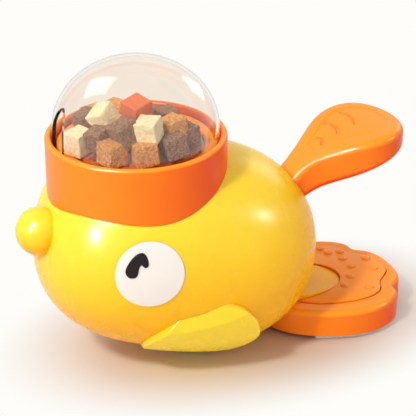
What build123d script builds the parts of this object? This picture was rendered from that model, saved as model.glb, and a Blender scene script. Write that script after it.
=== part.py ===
from build123d import *
import os
from math import atan2, cos, degrees, hypot, pi, radians, sin, sqrt, tan

# Pet treat dispenser: an egg-shaped duck body that stands on the floor, a clear dome of treats on
# its back, and a tail paddle that turns the feed disc and drops treats on to a webbed-foot tray.
# X runs from beak to tray, the duck's left side is -Y, and +Z is up. Millimetres and degrees.

# Points that carry an inset copy of a smooth loop
LOOP_STEPS = 40

# Overall reach, from the beak's tip to the tray's tip, centred on X = 0
HALF_LENGTH = 134.0

# Body egg: a revolved superellipse, nose up
EGG_X = -24.3
EGG_Z = 71.7
EGG_FRONT = 95.7
EGG_REAR = 88.7
EGG_R = 69.2
EGG_FRONT_POWER = 2.64
EGG_REAR_POWER = 2.38
EGG_PITCH = 15.5
EGG_STEPS = 7
WALL = 2.4
BELLY_Z = 4.5

# Beak
BEAK_X = -119.5
BEAK_Z = 97.5
BEAK_Y_R = 15.0
BEAK_Z_R = 15.5

# Hopper axis, collar and neck
HOPPER_X = -53.8
COLLAR_R = 56.8
COLLAR_WALL = 2.6
LIP_TOP = 153.1
LIP_R = 52.4
LIP_ROUND = 1.9
DOME_SEAT = 145.2
LEDGE_TOP = 148.7
LEDGE_R = 42.8
CUP_WALL = 2.2
NECK_WALL = 2.4
NECK_TOP = 137.2
COLLAR_SCREWS = 4
COLLAR_SCREW_R = 48.3

# Dome
DOME_R = 52.0
DOME_WALL = 2.2
DOME_EQUATOR = 156.9
DOME_RISE = 44.6
NOTCH_W = 19.0
NOTCH_TOP = 176.0

# Feed disc, shaft and gearing
DISC_R = 40.4
DISC_TOP = 147.9
DISC_T = 2.4
SLOT_IN = 14.5
SLOT_OUT = 38.2
SLOT_HALF = 21.0
SLOT_MID = -10.0
FLOOR_T = 2.6
SHAFT_R = 3.0
GEAR_MODULE = 1.0
PINION_TEETH = 16
PRESSURE_ANGLE = 20.0
BACKLASH = 0.16
PINION_T = 5.2
RACK_T = 5.0
RACK_BAR = 4.6
RACK_TEETH = 7

# Tail lever
PIVOT_X = 36.0
PIVOT_Z = 80.5
PRESS = 20.0
PIN_R = 2.0
PIN_HALF = 31.0
HUB_R = 6.0
HUB_HALF = 21.8
ROOT_R = 12.0
ROOT_HALF = 12.0
NOSE_R = 2.4
ARM_Y = 19.6
ARM_T = 4.4
SHIELD_R = 20.5
SHIELD_T = 2.0
NECK_HALF = 13.0
PADDLE_ROUND = 5.0

# Lines pressed into the paddle's top: one along its edge, and bent bars given by X, near and far Y
MARK_INSET = 10.0
MARK_WIDTH = 0.9
MARK_DEPTH = 0.7
MARK_ROOT_X = 68.0
MARK_BARS = [(72.0, -4.5, 13.0), (85.0, -3.5, 18.0), (99.0, -1.5, 21.5)]
MARK_BEND = 2.5

# Chute
CHUTE_WALL = 1.6
CHUTE_HALF = 17.5
CHUTE_H = 20.0
CHUTE_TOP_X = -30.0
CHUTE_TOP_Z = 84.0
CHUTE_END_X = 60.0
CHUTE_END_Z = 37.0

# Tray
TRAY_BASE = 3.6
TRAY_TOP = 21.7
TRAY_RIM = 7.5
TRAY_DEPTH = 3.0
TRAY_ROUND = 4.0
TRAY_WALL = 3.0
TRAY_FLOOR = TRAY_TOP - TRAY_DEPTH
TRAY_HOLLOW_X = 52.0
TRAY_LOOP = [
    (30.0, 0.0), (42.0, -34.0), (64.0, -47.0), (86.0, -52.0), (104.0, -49.0), (115.0, -42.0),
    (119.6, -34.5), (120.4, -28.8), (125.5, -24.6), (131.0, -17.5), (HALF_LENGTH, 0.0),
]
WELL_LOOP = [
    (30.0, 0.0), (44.0, -20.0), (60.0, -33.0), (80.0, -38.8), (95.0, -39.0), (105.5, -35.2),
    (110.7, -29.0), (113.6, -22.6), (119.6, -17.0), (125.4, -10.0), (127.2, 0.0),
]
TRAY_NUBS = [
    (99.0, 39.5), (99.5, 29.5), (109.5, 29.0), (107.5, 19.5), (107.0, 7.5), (100.0, -4.0), (91.0, -13.6),
    (121.0, 12.5), (121.5, 1.0), (105.0, -21.6),
]
PAD_INSET = 0.4
PAD_FRONT = 56.0
NUB_R = 3.2
NUB_SUNK = 2.0
TONGUE_TIP = 91.5
TONGUE_HALF = 24.0
TONGUE_ROOT = 56.0
TONGUE_LOW = 1.6
TONGUE_HIGH = 6.6

# Flippers: a pad that follows the egg inside a side outline in X and Z, with a sloped upper facet
FLIPPER_LOOP = [
    (-58.0, 10.0), (-42.0, 1.0), (-22.0, 3.0), (-8.0, 11.0), (1.5, 20.5), (4.0, 27.5),
    (2.4, 34.5), (-1.5, 43.5), (-6.4, 50.4), (-11.9, 55.2), (-18.2, 58.3), (-24.9, 59.5),
    (-32.6, 59.4), (-42.3, 57.2), (-50.6, 52.8), (-57.7, 46.6), (-64.0, 39.2), (-68.0, 27.0),
]
FLIPPER_T = 3.3
FLIPPER_SHIFT = (4.0, 4.4, 1.6)
FLIPPER_LOW = 3.0
FLIPPER_IN = 22.0
FLIPPER_ROUND = 1.2
FACET_POINT = (-21.7, 72.8, 49.4)
FACET_DIR = (-0.239, 0.898, 0.369)

# Eyes: disc, and the dark comma on the left disc as seen from outside
EYE_POINT = (-68.0, 57.0, 86.5)
EYE_DIR = (-0.345, 0.92, 0.185)
EYE_R = 21.0
EYE_PROUD = 0.7
EYE_SUNK = 0.8
PUPIL_T = 0.5
PUPIL_LOOP = [
    (-9.9, 2.7), (-7.2, 2.9), (-5.0, 5.6), (-3.6, 7.5), (-1.9, 8.3), (-0.9, 6.3), (0.9, 5.8),
    (2.6, 8.4), (2.9, 12.0), (1.7, 14.9), (-0.6, 15.6), (-3.6, 15.1), (-7.9, 12.9), (-10.9, 10.4), (-12.6, 7.8),
    (-12.3, 4.6),
]

# Clearances
FIT = 0.06
SEAT = 0.1
SKIN_GAP = 0.15
RUN = 0.3


def at(x, y, z, shape):
    """The shape moved to x, y, z."""
    return Pos(x, y, z) * shape


def block(x0, x1, y0, y1, z0, z1):
    """A box between two corners."""
    return at((x0 + x1) / 2, (y0 + y1) / 2, (z0 + z1) / 2, Box(x1 - x0, y1 - y0, z1 - z0))


def post(x, y, r, z0, z1):
    """An upright cylinder."""
    return at(x, y, (z0 + z1) / 2, Cylinder(r, z1 - z0))


def rod(x, z, r, y0, y1):
    """A cylinder that lies along Y."""
    return at(x, (y0 + y1) / 2, z, Rot(90, 0, 0) * Cylinder(r, abs(y1 - y0)))


def side_plate(face, y0, y1):
    """A face drawn in X and Z, as a plate from y0 to y1."""
    plate = extrude(Plane.XZ * face, amount=-(y1 - y0))
    return Pos(0, y0, 0) * plate


def closed(*edges):
    """A face inside a ring of edges."""
    return make_face(Wire(list(edges)))


def inset_loop(loop, inset):
    """A smooth anticlockwise loop moved inwards by the same distance all round."""
    if not inset:
        return loop
    points = []
    for i in range(LOOP_STEPS):
        place = loop.position_at(i / LOOP_STEPS)
        along = loop.tangent_at(i / LOOP_STEPS)
        points.append((place.X - inset * along.Y, place.Y + inset * along.X))
    return Spline(*points, periodic=True)


def polygon(*points):
    """A face with straight sides."""
    return make_face(Polyline(*points, close=True))


def egg(extra=0.0):
    """The egg, grown by extra all round."""
    points = []
    for i in range(EGG_STEPS + 1):
        t = pi / 2 * i / EGG_STEPS
        power = 2 / EGG_FRONT_POWER
        points.append((-(EGG_FRONT + extra) * cos(t) ** power, (EGG_R + extra) * sin(t) ** power))
    for i in range(EGG_STEPS - 1, -1, -1):
        t = pi / 2 * i / EGG_STEPS
        power = 2 / EGG_REAR_POWER
        points.append(((EGG_REAR + extra) * cos(t) ** power, (EGG_R + extra) * sin(t) ** power))
    outline = Spline(*points, tangents=[(0, 1), (0, -1)])
    half = closed(outline, Line(points[-1], points[0]))
    return Pos(EGG_X, 0, EGG_Z) * Rot(0, EGG_PITCH, 0) * revolve(half, Axis.X, 360)


def ellipsoid(rx, ry, rz):
    """An ellipsoid about the origin."""
    return scale(Sphere(1), by=(rx, ry, rz))


def beak(inset=0.0):
    """The rounded bill at the egg's nose."""
    reach = HALF_LENGTH + BEAK_X
    return at(BEAK_X, 0, BEAK_Z, ellipsoid(reach - inset, BEAK_Y_R - inset, BEAK_Z_R - inset))


def half_space(side):
    """All that lies on one side of the mid-plane: -1 is the duck's left."""
    return at(0, side * 200, 100, Box(600, 400, 500))


def around_hopper(count, radius, start):
    """Points evenly spaced round the hopper's axis."""
    step = 360 / count
    angles = [radians(start + i * step) for i in range(count)]
    return [(HOPPER_X + radius * cos(a), radius * sin(a)) for a in angles]


def sector(x, z, r0, r1, a0, a1):
    """A ring sector in X and Z."""
    points = []
    for r, a in ((r0, a0), (r1, a0), (r1, (a0 + a1) / 2), (r1, a1), (r0, a1), (r0, (a0 + a1) / 2)):
        points.append((x + r * cos(radians(a)), z + r * sin(radians(a))))
    p = points
    outer = ThreePointArc(p[1], p[2], p[3])
    inner = ThreePointArc(p[4], p[5], p[0])
    return closed(Line(p[0], p[1]), outer, Line(p[3], p[4]), inner)


# Gearing: the lever's nose pushes the rack, and the rack turns the pinion on the feed shaft
PINION_R = GEAR_MODULE * PINION_TEETH / 2
DISC_TURN = 51.8
RACK_TRAVEL = radians(DISC_TURN) * PINION_R
ARM_LENGTH = RACK_TRAVEL / (2 * sin(radians(PRESS / 2)))
RACK_Z = PIVOT_Z + ARM_LENGTH * cos(radians(PRESS / 2))
RACK_LOW = RACK_Z - RACK_T / 2
RACK_HIGH = RACK_Z + RACK_T / 2
NOSE_X = PIVOT_X - ARM_LENGTH * sin(radians(PRESS / 2))
PINION_TIP = PINION_R + GEAR_MODULE
RACK_ROOT_Y = PINION_R + 1.25 * GEAR_MODULE
RACK_BACK_Y = RACK_ROOT_Y + RACK_BAR
RACK_FRONT_X = HOPPER_X - RACK_TRAVEL - 2 * pi * GEAR_MODULE * 1.6
YOKE_IN = ARM_Y - ARM_T / 2 - RUN / 2
YOKE_OUT = ARM_Y + ARM_T / 2 + RUN / 2
YOKE_WEB = 1.4
YOKE_CHEEK = 2.3

# Hopper floor levels
DISC_LOW = DISC_TOP - DISC_T
FLOOR_TOP = DISC_LOW - 0.8
FLOOR_LOW = FLOOR_TOP - FLOOR_T
FLANGE_LOW = NECK_TOP + SEAT
FLANGE_TOP = FLANGE_LOW + 2.4
CUP_LOW = FLANGE_TOP + SEAT
NECK_R = COLLAR_R - COLLAR_WALL - RUN

# Chute line
CHUTE_TILT = degrees(atan2(CHUTE_TOP_Z - CHUTE_END_Z, CHUTE_END_X - CHUTE_TOP_X))
DROP_FRONT = HOPPER_X + SLOT_IN * cos(radians(SLOT_HALF - SLOT_MID)) - 0.3
DROP_LEFT = -SLOT_OUT * sin(radians(SLOT_HALF - SLOT_MID)) - 0.4
DROP_RIGHT = RACK_ROOT_Y - RUN - CHUTE_WALL
BRACKET_T = 2.5
BRACKET_TOP = RACK_LOW - 0.2

# Spring under the tail's root
SPRING_X = 48.0
SPRING_R = 3.4
SPRING_WIRE = 0.45
SPRING_TURNS = 6
SPRING_BOTTOM = 60.2
SPRING_TOP = 72.4

# Housing screws, in X and Z
HOUSING_SCREWS = [(-98.0, 84.0), (-84.0, 40.0), (-42.0, 18.0), (16.0, 22.0), (15.0, 115.0)]
SCREW_R = 1.5
HEAD_R = 2.8
HEAD_T = 2.0
TRAY_SCREW_X = 14.0
TRAY_SCREW_Y = 8.0
TAB_HALF = 14.0
TAB_FRONT = 7.0
TAB_T = 2.8


def chute_run(width, height, grow):
    """The slanted part of the chute, as a long box."""
    length = 150.0
    mid_x = (CHUTE_TOP_X + CHUTE_END_X) / 2
    mid_z = (CHUTE_TOP_Z + CHUTE_END_Z) / 2
    tube = Box(length, 2 * width + 2 * grow, height + 2 * grow)
    return at(mid_x, 0, mid_z, Rot(0, CHUTE_TILT, 0) * tube)


def paddle_slot():
    """The opening in the shells that the paddle's neck swings in."""
    low, high = NECK_ANGLES
    opening = sector(PIVOT_X, PIVOT_Z, SHIELD_R - 4, SHIELD_R + 24, low - PRESS - 3, high + 1.2)
    return side_plate(opening, -NECK_HALF - 0.5, NECK_HALF + 0.5)


NECK_ANGLES = (18.0, 62.5)


def eye_axis(side):
    """A frame on the egg's flank, looking out of the eye."""
    x, y, z = EYE_POINT
    out_x, out_y, out_z = EYE_DIR
    return Plane(origin=(x, side * y, z), x_dir=(1, 0, 0.3), z_dir=(out_x, side * out_y, out_z))


def eye_disc(side):
    """A white disc, curved with the egg and inlaid in it."""
    punch = eye_axis(side) * Cylinder(EYE_R, 60)
    return (egg(EYE_PROUD) - egg(-EYE_SUNK)) & punch


def eye_recess(side):
    """The seat of the eye disc in the shell."""
    punch = eye_axis(side) * Cylinder(EYE_R + SEAT, 60)
    return punch - egg(-EYE_SUNK - 0.05)


def pupil(side):
    """A dark comma on the eye disc."""
    comma = extrude(closed(Spline(*PUPIL_LOOP, periodic=True)), amount=60)
    punch = eye_axis(-1) * (Pos(0, 0, -20) * comma)
    spot = (egg(EYE_PROUD + PUPIL_T) - egg(EYE_PROUD + 0.02)) & punch
    return mirror(spot, Plane.XZ) if side > 0 else spot


def shell_skin():
    """Both body halves as one moulding, before the split."""
    outer = egg() + beak()
    cavity = (egg(-WALL) + beak(WALL)) & block(-300, 300, -200, 200, BELLY_Z + WALL, 300)
    skin = outer - cavity - block(-300, 300, -200, 200, -50, BELLY_Z)
    skin -= post(HOPPER_X, 0, NECK_R, 90, 200)
    neck = post(HOPPER_X, 0, NECK_R, 100, NECK_TOP) - post(HOPPER_X, 0, NECK_R - NECK_WALL, 90, 200)
    for x, y in around_hopper(COLLAR_SCREWS, COLLAR_SCREW_R, 45):
        lug = post(x, y, 4.6, NECK_TOP - 3, NECK_TOP)
        neck += lug & post(HOPPER_X, 0, NECK_R, 90, 200)
    neck -= cavity & block(-300, 300, -200, 200, 0, NECK_TOP - 12)
    skin += neck
    pad = block(TAB_FRONT - 3, 60, -TAB_HALF - 3, TAB_HALF + 3, BELLY_Z, BELLY_Z + TAB_T + 3)
    for y in (-TRAY_SCREW_Y, TRAY_SCREW_Y):
        pad += post(TRAY_SCREW_X, y, 3.6, BELLY_Z, BELLY_Z + 12)
    skin += pad & egg(-0.2)
    skin -= block(TAB_FRONT - RUN, 80, -TAB_HALF - RUN, TAB_HALF + RUN, 0, BELLY_Z + TAB_T + SEAT)
    for y in (-TRAY_SCREW_Y, TRAY_SCREW_Y):
        skin -= post(TRAY_SCREW_X, y, SCREW_R + 0.03, BELLY_Z, BELLY_Z + 11)
    for x, y in around_hopper(COLLAR_SCREWS, COLLAR_SCREW_R, 45):
        skin -= post(x, y, SCREW_R + 0.2, NECK_TOP - 5, NECK_TOP + 1)
    skin -= chute_run(CHUTE_HALF + CHUTE_WALL, CHUTE_H + 2 * CHUTE_WALL, RUN) & block(30, 90, -30, 30, 0, 80)
    skin -= paddle_slot()
    return skin


def shell_half(skin, side):
    """One half of the body with its screw bosses and its boss for the lever's pin."""
    half = skin & half_space(side)
    inside = egg(-0.6) & half_space(side)
    bosses = rod(PIVOT_X, PIVOT_Z, HUB_R, side * (HUB_HALF + RUN), side * 80)
    for x, z in HOUSING_SCREWS:
        radius = 3.6 if side < 0 else 4.6
        bosses += rod(x, z, radius, 0, side * 80)
    half += bosses & inside
    half -= rod(PIVOT_X, PIVOT_Z, PIN_R + FIT, side * 5, side * (PIN_HALF + 0.5))
    for x, z in HOUSING_SCREWS:
        if side < 0:
            half -= rod(x, z, SCREW_R + 0.03, 0, -10.5)
        else:
            half -= rod(x, z, SCREW_R + 0.2, 0, 4)
            half -= rod(x, z, HEAD_R + 0.4, 4, 90)
    return half - eye_recess(side)


def collar():
    """Orange ring on the duck's back: outer skirt, rounded lip, dome groove and inner ledge."""
    r0 = COLLAR_R
    r1 = LIP_R
    inner = LEDGE_R
    groove = DOME_R - DOME_WALL - 0.4
    under = DOME_SEAT - COLLAR_WALL
    top = LIP_TOP - LIP_ROUND
    mid = (r0 + r1) / 2
    outline = [
        Line((r0, 95), (r0, top)),
        ThreePointArc((r0, top), (mid, LIP_TOP), (r1, top)),
        Line((r1, top), (r1, DOME_SEAT)),
        Line((r1, DOME_SEAT), (groove, DOME_SEAT)),
        Line((groove, DOME_SEAT), (groove, LEDGE_TOP - 0.8)),
        Line((groove, LEDGE_TOP - 0.8), (groove - 0.8, LEDGE_TOP)),
        Line((groove - 0.8, LEDGE_TOP), (inner + 0.8, LEDGE_TOP - 0.4)),
        Line((inner + 0.8, LEDGE_TOP - 0.4), (inner, LEDGE_TOP - 1.2)),
        Line((inner, LEDGE_TOP - 1.2), (inner, CUP_LOW)),
        Line((inner, CUP_LOW), (inner + CUP_WALL, CUP_LOW)),
        Line((inner + CUP_WALL, CUP_LOW), (inner + CUP_WALL, under)),
        Line((inner + CUP_WALL, under), (r0 - COLLAR_WALL, under)),
        Line((r0 - COLLAR_WALL, under), (r0 - COLLAR_WALL, 95)),
        Line((r0 - COLLAR_WALL, 95), (r0, 95)),
    ]
    ring = revolve(Plane.XZ * closed(*outline), Axis.Z, 360)
    ring = Pos(HOPPER_X, 0, 0) * ring
    for x, y in around_hopper(COLLAR_SCREWS, COLLAR_SCREW_R, 45):
        ring += post(x, y, 3.4, CUP_LOW, under + 1)
    ring -= egg(SKIN_GAP)
    for x, y in around_hopper(COLLAR_SCREWS, COLLAR_SCREW_R, 45):
        ring -= post(x, y, SCREW_R + 0.03, CUP_LOW - 1, DOME_SEAT - 1)
    return ring


def drop_sector(mid, r0, r1, half, z0, z1):
    """An upright ring sector about the hopper's axis."""
    face = sector(0, 0, r0, r1, mid - half, mid + half)
    return at(HOPPER_X, 0, z0, extrude(face, amount=z1 - z0))


def hopper_floor():
    """Fixed floor under the feed disc, with the drop hole and the shaft's bearing."""
    wall_r = LEDGE_R - RUN
    floor = post(HOPPER_X, 0, wall_r, FLOOR_LOW, FLOOR_TOP)
    wall = post(HOPPER_X, 0, wall_r, FLANGE_LOW, FLOOR_TOP) - post(HOPPER_X, 0, wall_r - CUP_WALL, 100, 200)
    flange = post(HOPPER_X, 0, NECK_R - SEAT, FLANGE_LOW, FLANGE_TOP)
    flange -= post(HOPPER_X, 0, wall_r - CUP_WALL, 100, 200)
    solid = floor + wall + flange
    solid += post(HOPPER_X, 0, SHAFT_R + 3.4, FLOOR_LOW - 8, FLOOR_LOW)
    solid -= post(HOPPER_X, 0, SHAFT_R + FIT, 100, 200)
    solid -= drop_sector(SLOT_MID, SLOT_IN, SLOT_OUT, SLOT_HALF, FLOOR_LOW - 1, FLOOR_TOP + 1)
    for x, y in around_hopper(COLLAR_SCREWS, COLLAR_SCREW_R, 45):
        solid -= post(x, y, SCREW_R + 0.2, 100, 200)
    for x, y in BRACKET_POSTS[:2]:
        solid -= post(x, y, SCREW_R + 0.2, 100, 200)
        solid -= post(x, y, HEAD_R + 0.2, FLOOR_TOP - HEAD_T + 0.4, 200)
    return solid


BRACKET_POSTS = [(-80.0, 19.5), (-48.0, -14.0), (-80.0, -13.0), (-48.0, 19.5)]


def rack_bracket():
    """Hanging cradle that carries the shaft's foot and guides the rack."""
    low = BRACKET_TOP - BRACKET_T
    plate = block(-84, -44.5, -17.5, 23, low, BRACKET_TOP)
    guard = block(-84, -44.5, RACK_BACK_Y + 0.15, RACK_BACK_Y + 2.2, BRACKET_TOP, RACK_HIGH + 1.8)
    lip = block(-84, -44.5, RACK_ROOT_Y + 1.6, RACK_BACK_Y + 2.2, RACK_HIGH + 0.2, RACK_HIGH + 1.8)
    solid = plate + guard + lip
    for x, y in BRACKET_POSTS:
        solid += post(x, y, 3.4, BRACKET_TOP, FLOOR_LOW - SEAT)
    for x, y in BRACKET_POSTS[:2]:
        solid -= post(x, y, SCREW_R + 0.03, FLOOR_LOW - 12, FLOOR_LOW + 1)
    return solid - post(HOPPER_X, 0, SHAFT_R + FIT, 60, 200)


def feed_disc():
    """Turning disc in the hopper, with two drop slots and four stirring vanes."""
    disc = post(HOPPER_X, 0, DISC_R, DISC_LOW, DISC_TOP)
    cap = post(HOPPER_X, 0, 7.5, DISC_LOW, DISC_TOP + 2.0)
    cap = chamfer(cap.edges().group_by(Axis.Z)[-1], 1.6)
    disc += cap
    for mid in (SLOT_MID + DISC_TURN, SLOT_MID + DISC_TURN + 180):
        disc -= drop_sector(mid, SLOT_IN, SLOT_OUT, SLOT_HALF, DISC_LOW - 1, DISC_TOP + 1)
    for angle in (-26, -74, 106, 154):
        wedge = polygon((8, 0), (36.5, 0), (38.5, 3.0), (37.5, 3.2), (24, 1.6))
        vane = Plane.XZ * wedge
        vane = extrude(vane, amount=1.5, both=True)
        disc += at(HOPPER_X, 0, DISC_TOP - 0.05, Rot(0, 0, angle) * vane)
    return disc - post(HOPPER_X, 0, SHAFT_R + 0.02, 100, DISC_TOP - 0.4)


def feed_shaft():
    """Steel shaft from the disc down to the pinion."""
    shaft = post(HOPPER_X, 0, SHAFT_R, SHAFT_FOOT, DISC_TOP - 0.5)
    groove = post(HOPPER_X, 0, SHAFT_R + 1, CLIP_LOW, CLIP_LOW + 1.0) - post(HOPPER_X, 0, 2.2, 0, 200)
    return shaft - groove


SHAFT_FOOT = RACK_LOW - 6.5
CLIP_LOW = SHAFT_FOOT + 1.6


def shaft_clip():
    """Open spring clip in the groove at the shaft's foot."""
    clip = post(HOPPER_X, 0, 5.4, CLIP_LOW + 0.1, CLIP_LOW + 0.9) - post(HOPPER_X, 0, 2.25, 0, 200)
    return clip - block(HOPPER_X - 8, HOPPER_X, -1.9, 1.9, CLIP_LOW - 1, CLIP_LOW + 2)


def pinion():
    """Involute spur gear."""
    pressure = radians(PRESSURE_ANGLE)
    base = PINION_R * cos(pressure)
    tip = PINION_TIP - 0.1
    root = PINION_R - 1.25 * GEAR_MODULE
    half_pitch = pi / (2 * PINION_TEETH) - BACKLASH / (4 * PINION_R) + tan(pressure) - pressure
    teeth = []
    for i in range(PINION_TEETH):
        middle = 2 * pi * i / PINION_TEETH + PINION_PHASE
        flank = []
        for k in range(5):
            r = base + (tip - base) * k / 4
            turn = sqrt(max((r / base) ** 2 - 1, 0))
            flank.append((r, half_pitch - (turn - atan2(turn, 1))))
        right = [(r * cos(middle - a), r * sin(middle - a)) for r, a in flank]
        left = [(r * cos(middle + a), r * sin(middle + a)) for r, a in reversed(flank)]
        foot_r = (root * 0.98 * cos(middle - half_pitch), root * 0.98 * sin(middle - half_pitch))
        foot_l = (root * 0.98 * cos(middle + half_pitch), root * 0.98 * sin(middle + half_pitch))
        teeth.append(polygon(foot_r, *right, *left, foot_l))
    wheel = Circle(root)
    for tooth in teeth:
        wheel += tooth
    gear = at(HOPPER_X, 0, RACK_Z - PINION_T / 2, extrude(wheel, amount=PINION_T))
    gear += post(HOPPER_X, 0, 5.6, RACK_Z + PINION_T / 2, RACK_Z + PINION_T / 2 + 5)
    return gear - post(HOPPER_X, 0, SHAFT_R + 0.02, 0, 200)


PINION_PHASE = pi / 2


def feed_rack():
    """Toothed slide that joins the lever's nose to the pinion."""
    pitch = pi * GEAR_MODULE
    bar = block(RACK_FRONT_X, 8, RACK_ROOT_Y, RACK_BACK_Y, RACK_LOW, RACK_HIGH)
    slope = tan(radians(PRESSURE_ANGLE))
    half_tip = pitch / 4 - BACKLASH / 4 - GEAR_MODULE * 0.9 * slope
    half_root = pitch / 4 - BACKLASH / 4 + GEAR_MODULE * 1.25 * slope
    tip_y = PINION_R - 0.9 * GEAR_MODULE
    first = HOPPER_X + pitch / 2 - pitch * (RACK_TEETH - 1)
    for i in range(RACK_TEETH):
        x = first + i * pitch
        tooth = polygon(
            (x - half_root, RACK_ROOT_Y + 0.2),
            (x - half_tip, tip_y),
            (x + half_tip, tip_y),
            (x + half_root, RACK_ROOT_Y + 0.2),
        )
        bar += at(0, 0, RACK_LOW, extrude(tooth, amount=RACK_T))
    rear = NOSE_X + NOSE_R + 0.1 + YOKE_CHEEK
    front = NOSE_X - NOSE_R - 0.1 - YOKE_CHEEK
    bar += block(3, 8, RACK_ROOT_Y, YOKE_OUT + YOKE_WEB, RACK_LOW, RACK_HIGH)
    bar += block(3, rear, YOKE_IN, YOKE_OUT + YOKE_WEB, RACK_LOW, RACK_HIGH)
    bar -= block(8 + 3, front - 3, YOKE_IN + 1.6, YOKE_OUT, RACK_LOW - 1, RACK_HIGH + 1)
    slot = block(NOSE_X - NOSE_R - 0.1, NOSE_X + NOSE_R + 0.1, YOKE_IN - 1, YOKE_OUT, RACK_LOW - 1, RACK_HIGH + 1)
    return bar - slot


def drive_lever():
    """White lever: the hub on the pin, a flange on the tail's root, and the arm to the rack."""
    hub = rod(PIVOT_X, PIVOT_Z, HUB_R, -HUB_HALF, HUB_HALF)
    hub += rod(PIVOT_X, PIVOT_Z, ROOT_R, ROOT_HALF + SEAT, ROOT_HALF + 2.6)
    dx = NOSE_X - PIVOT_X
    dz = RACK_Z - PIVOT_Z
    length = hypot(dx, dz)
    nx, nz = -dz / length, dx / length
    w0, w1 = 4.2, 1.2
    arm = polygon(
        (PIVOT_X - nx * w0, PIVOT_Z - nz * w0),
        (NOSE_X - nx * w1, RACK_Z - nz * w1),
        (NOSE_X + nx * w1, RACK_Z + nz * w1),
        (PIVOT_X + nx * w0, PIVOT_Z + nz * w0),
    )
    lever = hub + side_plate(arm, ARM_Y - ARM_T / 2, ARM_Y + ARM_T / 2)
    lever += rod(NOSE_X, RACK_Z, NOSE_R, ARM_Y - ARM_T / 2, ARM_Y + ARM_T / 2)
    for x, z in LEVER_SCREWS:
        lever -= rod(x, z, 1.4, ROOT_HALF - 1, ROOT_HALF + 4)
    return lever - rod(PIVOT_X, PIVOT_Z, PIN_R + FIT, -40, 40)


LEVER_SCREWS = [
    (PIVOT_X + 9 * cos(radians(a)), PIVOT_Z + 9 * sin(radians(a))) for a in (-40, 140)
]

# The paddle: its upper and lower lines seen from the side, and half of its plan
PADDLE_TOP = [(37.0, 88.0), (76.0, 126.0), (136.0, 133.0)]
PADDLE_BOTTOM = [(136.0, 122.0), (84.0, 105.5), (44.0, 77.0)]
PADDLE_LOOP = [
    (30.0, 0.0), (38.0, 11.6), (58.0, 12.6), (70.0, 18.5), (83.0, 27.8),
    (99.0, 33.5), (116.0, 30.0), (127.5, 17.0), (131.5, 0.0),
]


def paddle_side_face():
    """The paddle seen from the side."""
    top, bottom = PADDLE_TOP, PADDLE_BOTTOM
    return closed(
        ThreePointArc(*top),
        Line(top[-1], bottom[0]),
        ThreePointArc(*bottom),
        Line(bottom[-1], top[0]),
    )


def paddle_plan_face(inset=0.0):
    """The paddle seen from above."""
    loop = [(x, -y) for x, y in PADDLE_LOOP] + PADDLE_LOOP[-2:0:-1]
    return closed(inset_loop(Spline(*loop, periodic=True), inset))


def paddle_marks():
    """Shallow lines in the paddle's top: one along its edge and three bent bars."""
    ring = extrude(paddle_plan_face(MARK_INSET), amount=80)
    ring -= extrude(paddle_plan_face(MARK_INSET + MARK_WIDTH), amount=80)
    cutter = ring & block(MARK_ROOT_X, 150, -60, 60, 0, 80)
    for x, near, far in MARK_BARS:
        bend = ThreePointArc((x, near), (x + MARK_BEND, (near + far) / 2), (x, far))
        cutter += extrude(trace(bend, line_width=MARK_WIDTH), amount=80)
        cutter += post(x, near, MARK_WIDTH / 2, 0, 80) + post(x, far, MARK_WIDTH / 2, 0, 80)
    return Pos(0, 0, PIVOT_Z) * cutter - Pos(0, 0, -MARK_DEPTH) * side_plate(paddle_side_face(), -45, 45)


def tail_paddle():
    """Orange spoon-shaped tail with its root on the lever's hub and the slot's shield."""
    plan = at(0, 0, PIVOT_Z - 40, extrude(paddle_plan_face(), amount=140))
    blade = side_plate(paddle_side_face(), -45, 45) & plan
    rims = [edge for edge in blade.edges() if edge.length > 100]
    blade = fillet(rims, PADDLE_ROUND) - paddle_marks()
    blade -= rod(PIVOT_X, PIVOT_Z, ROOT_R + RUN, ROOT_HALF, 60)
    ring = rod(PIVOT_X, PIVOT_Z, ROOT_R, -ROOT_HALF, ROOT_HALF)
    low, high = NECK_ANGLES
    shield = sector(PIVOT_X, PIVOT_Z, SHIELD_R - SHIELD_T, SHIELD_R, low - PRESS - 14, high + PRESS + 4)
    foot = block(SPRING_X - 5, SPRING_X + 5, -5, 5, SPRING_TOP, PIVOT_Z)
    solid = blade + ring + foot + side_plate(shield, -NECK_HALF - 2.6, NECK_HALF + 2.6)
    for x, z in LEVER_SCREWS:
        solid -= rod(x, z, 1.15, 2, ROOT_HALF + 1)
    return solid - rod(PIVOT_X, PIVOT_Z, HUB_R + FIT, -40, 40)


def screw(length, r=SCREW_R, head_r=HEAD_R, head_t=HEAD_T):
    """A pan-head screw that points along +Z, its head's seat at z = 0."""
    head = at(0, 0, -head_t / 2, Cylinder(head_r, head_t))
    head = chamfer(head.edges().group_by(Axis.Z)[0], 0.5)
    head -= at(0, 0, -head_t, Box(2.6, 0.7, 1.4))
    head -= at(0, 0, -head_t, Box(0.7, 2.6, 1.4))
    return head + at(0, 0, length / 2, Cylinder(r, length))


def housing_screws():
    """Screws that hold the two body halves together."""
    return [at(x, 4, z, Rot(90, 0, 0) * screw(13)) for x, z in HOUSING_SCREWS]


def collar_screws():
    """Screws that clamp the collar and the hopper floor to the body's neck."""
    spots = around_hopper(COLLAR_SCREWS, COLLAR_SCREW_R, 45)
    return [at(x, y, NECK_TOP - 3, screw(9)) for x, y in spots]


def bracket_screws():
    """Screws from the hopper floor into the bracket's posts."""
    top = FLOOR_TOP - HEAD_T + 0.4
    return [at(x, y, top, Rot(180, 0, 0) * screw(9, head_t=1.5)) for x, y in BRACKET_POSTS[:2]]


def tray_screws():
    """Screws that hold the tray's tab under the belly."""
    return [at(TRAY_SCREW_X, y, BELLY_Z + 1.2, screw(9, head_t=1.1)) for y in (-TRAY_SCREW_Y, TRAY_SCREW_Y)]


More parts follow.
